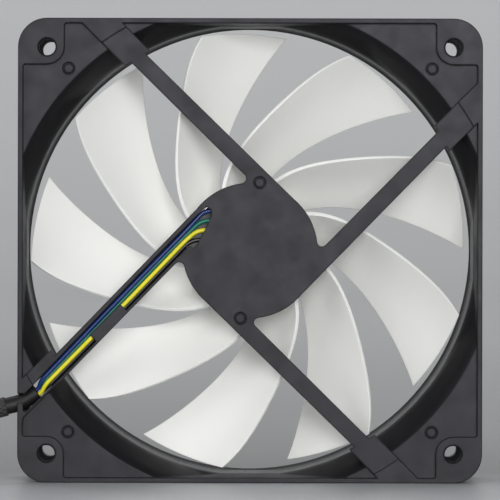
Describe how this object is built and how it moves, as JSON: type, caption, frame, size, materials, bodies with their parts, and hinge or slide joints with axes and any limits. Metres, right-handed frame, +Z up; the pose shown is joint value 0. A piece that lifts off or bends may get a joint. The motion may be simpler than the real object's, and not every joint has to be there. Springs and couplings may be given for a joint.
{
  "type": "case fan",
  "caption": "Square axial case fan with a white bladed rotor in a dark moulded frame, four struts, wires in one strut and a sleeved cable to a plug.",
  "frame": {"origin": "centre of the square frame, on the rotor axis, half way through its depth", "axes": "+Y along the rotor axis from the exhaust face to the intake face, +Z up, +X to the right seen from the exhaust side"},
  "size_m": [0.2153, 0.0469, 0.12],
  "materials": {
    "frame_plastic": "fine satin, moulded",
    "blade_plastic": "smooth satin white",
    "brass": "turned",
    "bronze": "sintered, oiled",
    "steel": "bright",
    "core_steel": "laminated",
    "nylon": "natural",
    "insulator": "off-white",
    "magnet": "bonded ferrite",
    "copper": "enamelled wire",
    "board": "solder mask",
    "chip": "moulded",
    "solder": "bright",
    "wire_blue": "glossy",
    "wire_green": "glossy",
    "wire_yellow": "glossy",
    "wire_black": "glossy",
    "sleeve": "dark woven sleeve",
    "shrink": "shrunk tube",
    "connector": "moulded",
    "tie": "flat coated wire"
  },
  "bodies": {
    "frame": {"housing": "frame_plastic", "bearing_tube": "brass", "sleeve_bearing": "bronze", "thrust_pad": "nylon", "retaining_washer": "nylon", "oil_cap": "nylon", "stator_core": "core_steel", "rear_insulator": "insulator", "front_insulator": "insulator", "coil_1": "copper", "coil_2": "copper", "coil_3": "copper", "coil_4": "copper", "winding_pins": "steel", "circuit_board": "board", "driver_chip": "chip", "capacitors": "chip", "diode": "chip", "lead_solder": "solder", "wire_blue": "wire_blue", "wire_green": "wire_green", "wire_yellow": "wire_yellow", "wire_black": "wire_black", "cable_cuff": "shrink", "cord_run": "sleeve", "cord_hank": "sleeve", "cord_end": "sleeve", "hank_tie": "tie", "end_cuff": "shrink", "tail_wires": "wire_black", "connector": "connector"},
    "rotor": {"impeller": "blade_plastic", "rotor_yoke": "steel", "rotor_magnet": "magnet", "shaft_bush": "brass", "shaft": "steel", "oil_ring": "nylon", "split_clip": "nylon"}
  },
  "joints": [
    {"name": "rotor_spin", "type": "hinge", "parent": "frame", "child": "rotor", "pos_m": [0, 0, 0], "axis": [0, 1, 0], "continuous": true}
  ]
}
